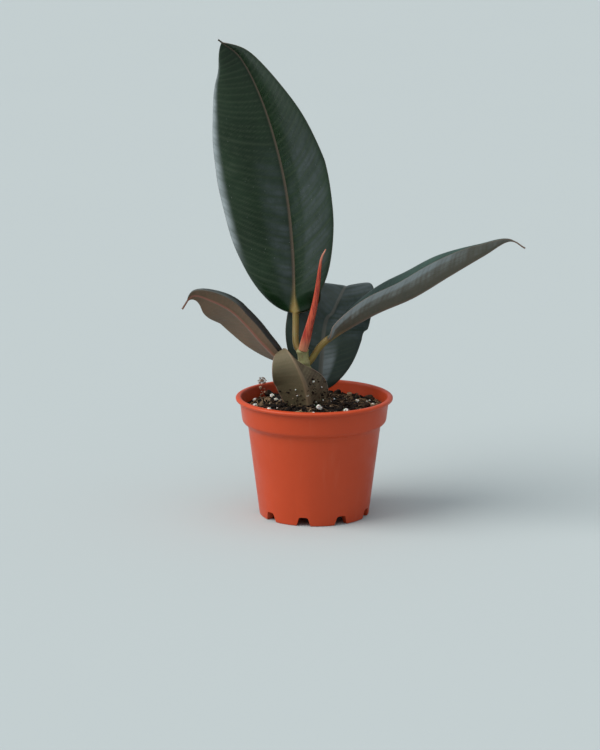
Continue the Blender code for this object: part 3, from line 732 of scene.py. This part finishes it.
def build_leaf(leaf, rng):
    """One leaf as a closed mesh. Gives back its middle surface, the way that faces, and the shares."""
    curve = Curve(leaf["stalk"] + leaf["midrib"])
    foot, distance = rings_along(leaf, curve)
    blade = curve.length - foot
    on_blade = distance >= foot - 1e-9
    share = np.clip((distance - foot) / blade, 0.0, 1.0)

    middle = curve.at(distance)
    heading = curve.heading(distance, RING_SPAN)
    facing = facing_at(leaf, share)
    up = unit(facing - heading * np.sum(facing * heading, -1, keepdims=True))
    side = np.cross(heading, up)

    narrow = TIP_HALF_WIDTH + (STALK_RADIUS - TIP_HALF_WIDTH) * (1.0 - share)
    halves = [np.maximum(leaf["half_width"] * outline(leaf, share, h), narrow) for h in (0, 1)]
    halves = [np.where(on_blade, h, STALK_RADIUS) for h in halves]

    # u runs across the leaf from -1 to 1, q is the distance from the rib as a part of the half width
    t = np.linspace(-1.0, 1.0, COLUMNS + 1)
    u = 0.45 * t + 0.55 * np.sin(t * math.pi / 2.0)
    q = np.abs(u)
    half = (u > 0.0).astype(int)
    hand = np.where(u > 0.0, 1.0, -1.0)
    wide = np.where(half[None, :] == 1, halves[1][:, None], halves[0][:, None])
    away = q[None, :] * wide
    opened = smoothstep(0.0, FOLD_SHARE, share)[:, None] * on_blade[:, None]
    reach, rise, lean = walk_out(leaf, q, half, wide, opened)
    swing = 2.0 * math.pi * share[:, None] * blade / WAVE_LENGTH
    wave = leaf["wave"] * np.sin(swing + 1.3 * hand[None, :]) * q[None, :] ** 3
    rise += wave * smoothstep(0.04, 0.2, share)[:, None]

    side3 = side[:, None, :]
    up3 = up[:, None, :]
    surface = middle[:, None, :] + side3 * (hand * reach)[..., None] + up3 * rise[..., None]
    outward = up3 * np.cos(lean)[..., None] - side3 * (hand * np.sin(lean))[..., None]

    vein, quilt = veins_at(leaf, away, distance, foot, rng)
    fade = smoothstep(0.03, 0.12, share)[:, None] * smoothstep(0.0, 1.6, wide - away - 0.5)
    fade *= smoothstep(0.5, 1.6, away) * on_blade[:, None]
    vein = vein * fade
    puff = quilt * fade * leaf["quilt"]
    painted_light, painted_highlight = painted_light_patches(leaf, share, q, half)
    # The painted sheen, shade and highlight are broken into streaks along the quilting between the
    # veins, as a reflection would be.
    streak = 0.62 + 0.38 * quilt - 0.5 * vein + 0.22 * np.sin(distance[:, None] * 0.83 - away * 0.5)
    painted_light = np.clip(painted_light * streak, 0.0, 1.0) * on_blade[:, None]
    painted_highlight = np.clip(painted_highlight * (0.5 + 0.5 * streak), 0.0, 1.0) * on_blade[:, None]
    rib_width = RIB_WIDTH * (1.15 - 0.75 * share[:, None])
    rib = np.exp(-((away / rib_width) ** 2)) * on_blade[:, None]
    edge = smoothstep(0.0, 0.55, 0.55 - (wide - away)) * on_blade[:, None]
    stalk = (1.0 - share[:, None]) ** 9 * np.exp(-((away / 2.2) ** 2))
    stalk = np.where(on_blade[:, None], stalk, 1.0)

    # The stalk's round section gives way to the flat blade with its raised rib.
    stalk_left = np.where(on_blade, (1.0 - share) ** 6, 1.0)[:, None]
    rib_height = np.where(on_blade, STALK_RADIUS * 0.62 * (1.0 - share) ** 1.2, 0.0)[:, None]
    round_half = STALK_RADIUS * np.sqrt(np.maximum(1.0 - u**2, 0.0))[None, :]
    flat = (BLADE_THICKNESS + (MARGIN_THICKNESS - BLADE_THICKNESS) * q) / 2.0
    flat = np.minimum(flat[None, :], wide * 0.6) * np.sqrt(np.maximum(1.0 - q**10, 0.0))
    above = flat + puff - VEIN_RELIEF * vein - RIB_GROOVE * rib * (1.0 - stalk_left)
    below = flat - puff + VEIN_RELIEF * 1.2 * vein + rib_height * rib
    above = round_half * stalk_left + above * (1.0 - stalk_left)
    below = round_half * stalk_left + below * (1.0 - stalk_left)

    def both_sides(upper, lower):
        """Each ring runs across the upper side and back under the lower, sharing both margins."""
        return np.concatenate([upper, lower[:, ::-1][:, 1:-1]], axis=1)

    points = both_sides(surface + outward * above[..., None], surface - outward * below[..., None])
    count = points.shape[1]
    slots = np.concatenate([[0], np.tile(np.arange(count) >= COLUMNS, len(distance) - 1), [0]])
    name = leaf["node"]
    obj = make_object(
        name + "_blade",
        points.reshape(-1, 3),
        ring_faces(len(distance), count),
        leaf_upper(name + "_upper", *leaf["upper"]),
        leaf_under(name + "_under", *leaf["under"]),
        slots=slots,
    )
    painted = {"vein": vein, "rib": rib, "edge": edge, "painted_light": painted_light, "painted_highlight": painted_highlight, "stalk": stalk}
    for key, values in painted.items():
        add_attribute(obj, key, both_sides(values, values).ravel())
    settle(obj, "leaf", name)
    return surface, outward, share


# ---------------------------------------------------------------- stem and bud sheath

STEM_RADIUS = 2.3
STEM_TIP_RADIUS = 2.1
STEM_PATH = ((1.6, 2.2, -20.0), (0.4, 1.4, -8.0), (-1.4, 0.9, 2.0), (-3.4, 0.5, 12.0), (-4.7, 0.2, 20.6))
NODE_SWELL = 0.35
NODE_HEIGHTS = (2.0, 12.0, 15.0, 19.6)
NODE_SPREAD = 0.9
SHEATH_PATH = ((-4.4, -1.0, 20.0), (-2.8, -1.8, 26.0), (-0.3, -3.6, 36.0), (1.1, -5.2, 44.4),
               (2.4, -6.6, 55.3), (4.2, -7.0, 59.8))
SHEATH_RADIUS = 1.7
SHEATH_TIP_RADIUS = 0.16
SHEATH_TAPER = 0.8
SHEATH_TURNS = 0.8  # how far its free edge winds round it


def tube(name, curve, radius_at, sides, stations, finish):
    """A round rod along a curve. radius_at takes the distance and the angle round it."""
    distance = np.linspace(0.0, curve.length, stations + 1)
    heading = curve.heading(distance)
    side = unit(np.cross(np.array([0.0, 1.0, 0.0]), heading))
    front = np.cross(heading, side)
    angle = 2.0 * math.pi * np.arange(sides) / sides
    radius = radius_at(distance[:, None], angle[None, :])
    turn = side[:, None] * np.cos(angle)[None, :, None] + front[:, None] * np.sin(angle)[None, :, None]
    points = curve.at(distance)[:, None] + turn * radius[..., None]
    obj = make_object(name, points.reshape(-1, 3), ring_faces(stations + 1, sides), finish)
    add_attribute(obj, "along", np.repeat(distance / curve.length, sides))
    return obj


def build_stem():
    curve = Curve(STEM_PATH)

    def radius(distance, angle):
        height = curve.at(distance[:, 0])[:, 2] - SOIL_TOP
        made = STEM_RADIUS + (STEM_TIP_RADIUS - STEM_RADIUS) * distance / curve.length
        for node in NODE_HEIGHTS:
            near = (height - node) / NODE_SPREAD
            made = made + (NODE_SWELL * np.exp(-(near**2)))[:, None]
        ridges = 0.05 * np.sin(angle * 7.0 + distance * 0.35) + 0.03 * np.sin(angle * 13.0)
        rounded_top = np.sqrt(np.clip((curve.length - distance) / 1.0, 0.0, 1.0))
        return (made + ridges) * (0.45 + 0.55 * rounded_top)

    settle(tube("stem_rod", curve, radius, 48, 150, stem_bark()), "stem", "stem")


def build_sheath():
    curve = Curve(SHEATH_PATH)

    def radius(distance, angle):
        share = np.clip(distance / curve.length, 0.0, 1.0)
        body = SHEATH_TIP_RADIUS + (SHEATH_RADIUS - SHEATH_TIP_RADIUS) * (1.0 - share) ** SHEATH_TAPER
        swell = 0.10 * np.exp(-(((share - 0.10) / 0.10) ** 2))
        turned = (angle / (2.0 * math.pi) - SHEATH_TURNS * share + 0.15) % 1.0
        overlap = 0.16 * (1.0 - turned) ** 3 * (1.0 - share)
        lines = 0.02 * np.sin(angle * 11.0)
        return body + swell + overlap + lines

    settle(tube("sheath_cone", curve, radius, 64, 190, sheath_skin()), "bud_sheath", "bud_sheath")


# ---------------------------------------------------------------- potting mix and what lies on it

SOIL_SEGMENTS = 320
SOIL_RINGS = 84
CRUMB_COUNT = 1500
CRUMB_SHAPE = (1.0, 0.85, 0.7)
GRIT_COUNT = 110
GRIT_SHAPE = (1.0, 0.9, 0.85)
BARK_COUNT = 190
BARK_SHAPE = (1.25, 0.75, 0.6)
STUCK_SHAPE = (1.0, 0.9, 0.8)
FIBRE_COUNT = 170
# Where light scraps have gathered: the place and how far they spread
HEAPS = ((-23.0, 2.0, 2.6), (-19.0, 9.0, 2.6), (21.0, 6.0, 3.0), (12.0, 12.0, 3.4), (23.0, -2.0, 2.0),
         (-5.0, -18.0, 2.4), (3.0, -19.0, 2.6))
HEAP_BARK_COUNT = 130
HEAP_GRIT_COUNT = 60
HEAP_FIBRE_COUNT = 90
TUFT_PLACE = (-20.2, 16.4, 47.8)
TUFT_RADIUS = 1.8
TUFT_THREADS = 26
TUFT_CRUMBS = 22


def soil_height(x, y):
    spread = min(math.hypot(x, y) / SOIL_RADIUS, 1.0)
    mound = SOIL_MOUND * (0.5 + 0.5 * math.cos(math.pi * spread))
    place = Vector((x, y, 0.0))
    lumps = 0.5 * noise.noise(place * 0.22) * (1.0 - spread**4)
    clods = 0.55 * noise.noise(place * 0.55 + Vector((7.0, 3.0, 1.0)))
    crumbs = 0.32 * noise.turbulence(place * 1.1, 3, False)
    return POT_HEIGHT - SOIL_EDGE_DROP + mound + lumps + clods * 0.7 + crumbs - 0.35


def build_soil():
    """The mix from the pot's floor up: four rings for its side, then its uneven top."""
    low = FOOT_HEIGHT + WALL + SOIL_FIT
    edge = SOIL_RADIUS + SOIL_FIT
    band_foot = POT_HEIGHT - BAND_HEIGHT
    side = (
        (POLE_RADIUS, low),
        (pot_outside(low) - WALL - SOIL_FIT, low),
        (pot_outside(band_foot) - WALL - STEP_DEPTH - SOIL_FIT, band_foot - STEP_HEIGHT),
        (edge, band_foot + 2.0),
    )
    points = [place for radius, z in side for place in ring(radius, z, SOIL_SEGMENTS)]
    for k in range(SOIL_RINGS + 1):
        radius = edge + (POLE_RADIUS - edge) * k / SOIL_RINGS
        points += [(x, y, soil_height(x, y)) for x, y, _ in ring(radius, 0.0, SOIL_SEGMENTS)]
    faces = ring_faces(len(side) + SOIL_RINGS + 1, SOIL_SEGMENTS)
    settle(make_object("mix_body", points, faces, mix_earth()), "soil", "soil")


def lump(rng, size, shape, detail=2, rough=0.2):
    """A small irregular stone about its own middle: points and faces."""
    ball = bmesh.new()
    bmesh.ops.create_icosphere(ball, subdivisions=detail, radius=size / 2.0)
    offset = Vector((rng.uniform(0, 90), rng.uniform(0, 90), rng.uniform(0, 90)))
    spin = Matrix.Rotation(rng.uniform(0.0, 6.3), 3, "Z")
    spin = spin @ Matrix.Rotation(rng.uniform(-0.5, 0.5), 3, "X")
    points = []
    for vertex in ball.verts:
        swell = 1.0 + rough * 2.0 * noise.noise(vertex.co * 1.6 / size + offset)
        swell += rough * noise.noise(vertex.co * 4.5 / size + offset)
        place = Vector(a * b for a, b in zip(vertex.co, shape)) * swell
        points.append(tuple(spin @ place))
    faces = [tuple(v.index for v in f.verts) for f in ball.faces]
    ball.free()
    return points, faces


def gather(name, parts, finish):
    """Many small closed bodies as one object."""
    points = []
    faces = []
    for more_points, more_faces in parts:
        faces += [tuple(len(points) + k for k in face) for face in more_faces]
        points += more_points
    return make_object(name, points, faces, finish)


def place_on_mix(rng, margin=0.6):
    radius = (SOIL_RADIUS - margin) * math.sqrt(rng.random())
    angle = rng.uniform(0.0, 2.0 * math.pi)
    return radius * math.cos(angle), radius * math.sin(angle)


def place_in_heap(rng, margin=0.6):
    """A place near one of the spots where light scraps have gathered."""
    x, y, spread = rng.choice(HEAPS)
    x, y = rng.gauss(x, spread), rng.gauss(y, spread)
    pull = min((SOIL_RADIUS - margin) / max(math.hypot(x, y), 0.01), 1.0)
    return x * pull, y * pull


def scattered(rng, count, sizes, shape, place=place_on_mix):
    for _ in range(count):
        size = sizes[0] + (sizes[1] - sizes[0]) * rng.random() ** 2.2
        x, y = place(rng, 0.4 + size / 2.0)
        points, faces = lump(rng, size, shape, rough=0.28)
        z = soil_height(x, y) + size * 0.12
        yield [(a + x, b + y, c + z) for a, b, c in points], faces


def fibre(rng, x, y, length, radius, rise):
    """A fine root or coir thread lying on the mix, thinner at its ends."""
    heading = rng.uniform(0.0, 2.0 * math.pi)
    bend = rng.uniform(-0.25, 0.25)
    steps = 10
    spots = []
    for k in range(steps + 1):
        share = k / steps
        lift = soil_height(x, y) + radius + 0.15 + rise * math.sin(share * math.pi)
        if math.hypot(x, y) > SOIL_RADIUS - 0.5:
            break
        spots.append(Vector((x, y, lift)))
        x += math.cos(heading) * length / steps
        y += math.sin(heading) * length / steps
        heading += bend + rng.uniform(-0.18, 0.18)
    return thread(spots, radius) if len(spots) >= 4 else None


def curl(rng, place, spread, radius):
    """A dry thread curled up about a place."""
    spots = []
    angle, tilt = rng.uniform(0.0, 6.3), rng.uniform(-0.7, 0.9)
    reach = spread * rng.uniform(0.45, 1.0)
    for _ in range(9):
        flat = reach * math.cos(tilt)
        spots.append(Vector(place) + Vector((flat * math.cos(angle), flat * math.sin(angle),
                                             reach * math.sin(tilt))))
        angle += rng.uniform(0.15, 0.55)
        tilt += rng.uniform(-0.35, 0.35)
    return thread(spots, radius)


def thread(spots, radius, sides=5):
    """A closed rod through the spots, thinner at its ends: points and faces."""
    points = []
    for k, spot in enumerate(spots):
        ahead = spots[min(k + 1, len(spots) - 1)] - spots[max(k - 1, 0)]
        along = ahead.normalized()
        across = along.cross(Vector((0.0, 0.0, 1.0))).normalized()
        over = across.cross(along)
        taper = radius * (0.45 + 0.55 * math.sin(math.pi * (k + 0.5) / len(spots)))
        for n in range(sides):
            turn = 2.0 * math.pi * n / sides
            points.append(tuple(spot + (across * math.cos(turn) + over * math.sin(turn)) * taper))
    return points, ring_faces(len(spots), sides)


def build_litter():
    """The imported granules, chips and crumbs again, with broken, pitted surfaces."""
    rng = random.Random(5)
    kinds = {
        "perlite": (perlite_stone(), 0.40),
        "chip": (crumb_earth("chip_wood", (0.200, 0.120, 0.065), (0.360, 0.240, 0.140), 0.2), 0.10),
        "crumb": (crumb_earth("crumb_peat", (0.012, 0.0075, 0.0050), (0.055, 0.033, 0.020)), 0.26),
    }
    for node in sorted(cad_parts):
        kind = node.split("_")[0]
        if kind not in kinds:
            continue
        finish, rough = kinds[kind]
        low, high = [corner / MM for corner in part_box(node)]
        extent = high - low
        points, faces = lump(rng, 1.0, (1.0, 1.0, 1.0), 4, rough)
        spread = np.ptp(np.array(points), axis=0)
        scale = [extent[k] / spread[k] for k in range(3)]
        centre = (low + high) / 2.0
        centre.z -= min(0.5, extent.z * 0.3)
        middle = (np.array(points).max(0) + np.array(points).min(0)) / 2.0
        placed = (np.array(points) - middle) * scale + np.array(centre)
        settle(make_object(node + "_stone", placed, faces, finish), kind, node)


def fibres_laid(rng, count, place, lengths, radii, rises):
    threads = []
    while len(threads) < count:
        x, y = place(rng, 2.0)
        made = fibre(rng, x, y, rng.uniform(*lengths), rng.uniform(*radii), rng.uniform(*rises))
        if made:
            threads.append(made)
    return threads


def build_debris():
    """The loose surface of the mix: dark crumbs, grit, bark and fibres, and heaps of dry scraps."""
    rng = random.Random(21)
    peat = crumb_earth("crumb_mix", (0.0036, 0.0025, 0.0020), (0.0190, 0.0115, 0.0078))
    bark = crumb_earth("bark_grit", (0.110, 0.066, 0.036), (0.330, 0.225, 0.135), 0.2)
    coir = crumb_earth("coir_fibre", (0.070, 0.040, 0.024), (0.200, 0.125, 0.070))
    dry = crumb_earth("dry_fibre", (0.150, 0.090, 0.050), (0.420, 0.280, 0.160))

    crumbs = scattered(rng, CRUMB_COUNT, (0.5, 2.3), CRUMB_SHAPE)
    settle(gather("mix_crumbs", crumbs, peat), "crumb")
    grit = scattered(rng, GRIT_COUNT, (0.30, 1.5), GRIT_SHAPE)
    settle(gather("mix_grit", grit, perlite_stone()), "perlite")
    bits = scattered(rng, BARK_COUNT, (0.35, 1.7), BARK_SHAPE)
    settle(gather("mix_bark", bits, bark), "chip")
    threads = fibres_laid(rng, FIBRE_COUNT, place_on_mix, (3.5, 11.0), (0.07, 0.17), (0.0, 0.9))
    settle(gather("mix_fibres", threads, coir), "chip")

    threads = fibres_laid(rng, HEAP_FIBRE_COUNT, place_in_heap, (2.5, 6.0), (0.08, 0.18), (0.2, 1.6))
    settle(gather("heap_fibres", threads, dry), "chip")
    bits = scattered(rng, HEAP_BARK_COUNT, (0.35, 1.5), BARK_SHAPE, place_in_heap)
    settle(gather("heap_bark", bits, bark), "chip")
    grit = scattered(rng, HEAP_GRIT_COUNT, (0.30, 1.3), GRIT_SHAPE, place_in_heap)
    settle(gather("heap_grit", grit, perlite_stone()), "perlite")


def build_tuft():
    """The tuft of dry moss caught on the mix at the back left, with crumbs in it."""
    rng = random.Random(13)
    moss = crumb_earth("dry_moss", (0.230, 0.130, 0.085), (0.480, 0.310, 0.210))
    curls = [curl(rng, TUFT_PLACE, TUFT_RADIUS, rng.uniform(0.06, 0.12)) for _ in range(TUFT_THREADS)]
    x, y, top = TUFT_PLACE
    low = soil_height(x, y)
    for _ in range(TUFT_CRUMBS):
        points, faces = lump(rng, rng.uniform(0.3, 0.9), STUCK_SHAPE, rough=0.3)
        place = Vector((x + rng.gauss(0.0, 0.9), y + rng.gauss(0.0, 0.9), rng.uniform(low, top + 0.8)))
        curls.append(([tuple(Vector(p) + place) for p in points], faces))
    settle(gather("moss_tuft", curls, moss), "crumb")


def build_leaf_crumbs(surface, outward, share):
    """Crumbs of mix stuck to the foot of the front leaf, on the side that faces out."""
    rng = random.Random(8)
    rows = np.where((share > 0.13) & (share < 0.44))[0]

    def stuck(count, low, high, spread):
        for _ in range(count):
            row = rows[min(int(rng.random() ** 2.4 * len(rows)), len(rows) - 1)]
            middle = COLUMNS / 2 + rng.gauss(-4.0, spread)
            column = int(min(max(middle, 5), COLUMNS - 5))
            size = low + (high - low) * rng.random() ** 2.0
            place = surface[row, column] - outward[row, column] * (BLADE_THICKNESS * 0.55 + size * 0.2)
            points, faces = lump(rng, size, STUCK_SHAPE, rough=0.3)
            yield [tuple(np.array(p) + place) for p in points], faces

    earth = crumb_earth("crumb_stuck", (0.008, 0.005, 0.004), (0.060, 0.038, 0.022))
    settle(gather("leaf_front_crumbs", stuck(240, 0.20, 1.0, 17.0), earth), "crumb")
    tan = crumb_earth("grit_stuck", (0.160, 0.100, 0.055), (0.420, 0.310, 0.200))
    settle(gather("leaf_front_grit", stuck(46, 0.20, 0.7, 15.0), tan), "chip")
    settle(gather("leaf_front_perlite", stuck(9, 0.6, 1.25, 13.0), perlite_stone()), "perlite")


# ---------------------------------------------------------------- stage

CAMERA_PLACE = (-5.44, -1000.98, 275.82)
CAMERA_PITCH = 12.5
CAMERA_LENS = 129.6
FLOOR_SIZE = 16000.0
SKY_COLOUR = (0.84, 0.93, 1.0, 1.0)
SKY_STRENGTH = 0.46


def sun_light(name, bearing, height, spread, strength, colour):
    """A broad soft light from far off. Bearing is from the front towards +X, height above the floor."""
    light = bpy.data.lights.new(name, "SUN")
    light.angle = math.radians(spread)
    light.energy = strength
    light.color = colour
    obj = bpy.data.objects.new(name, light)
    turn, lift = math.radians(bearing), math.radians(height)
    out = Vector((math.sin(turn) * math.cos(lift), -math.cos(turn) * math.cos(lift), math.sin(lift)))
    obj.location = out
    obj.rotation_euler = out.to_track_quat("Z", "Y").to_euler()
    bpy.context.scene.collection.objects.link(obj)


def build_stage():
    half = FLOOR_SIZE / 2.0
    corners = [(-half, -half, 0.0), (half, -half, 0.0), (half, half, 0.0), (-half, half, 0.0)]
    floor = make_object("floor", corners, [(0, 1, 2, 3)], studio_floor())

    camera = bpy.data.cameras.new("camera")
    camera.lens = CAMERA_LENS
    camera.sensor_width = 36.0
    camera.clip_end = 100.0
    holder = bpy.data.objects.new("camera", camera)
    holder.location = Vector(CAMERA_PLACE) * MM
    holder.rotation_euler = (math.radians(90.0 - CAMERA_PITCH), 0.0, 0.0)
    bpy.context.scene.collection.objects.link(holder)
    bpy.context.scene.camera = holder

    sun_light("window", bearing=-74.0, height=40.0, spread=48.0, strength=2.5,
              colour=(1.0, 0.985, 0.96))
    sun_light("overhead", bearing=-10.0, height=74.0, spread=80.0, strength=0.9,
              colour=(0.95, 0.98, 1.0))
    world = bpy.data.worlds.new("studio")
    world.use_nodes = True
    background = world.node_tree.nodes["Background"]
    background.inputs["Color"].default_value = SKY_COLOUR
    background.inputs["Strength"].default_value = SKY_STRENGTH
    bpy.context.scene.world = world
    bpy.context.scene.view_settings.view_transform = "Standard"


def main():
    build_stage()
    build_pot()
    build_soil()
    build_stem()
    build_sheath()
    rng = random.Random(3)
    for leaf in LEAVES:
        made = build_leaf(leaf, rng)
        if leaf["node"] == "leaf_front":
            build_leaf_crumbs(*made)
    build_litter()
    build_debris()
    build_tuft()


main()
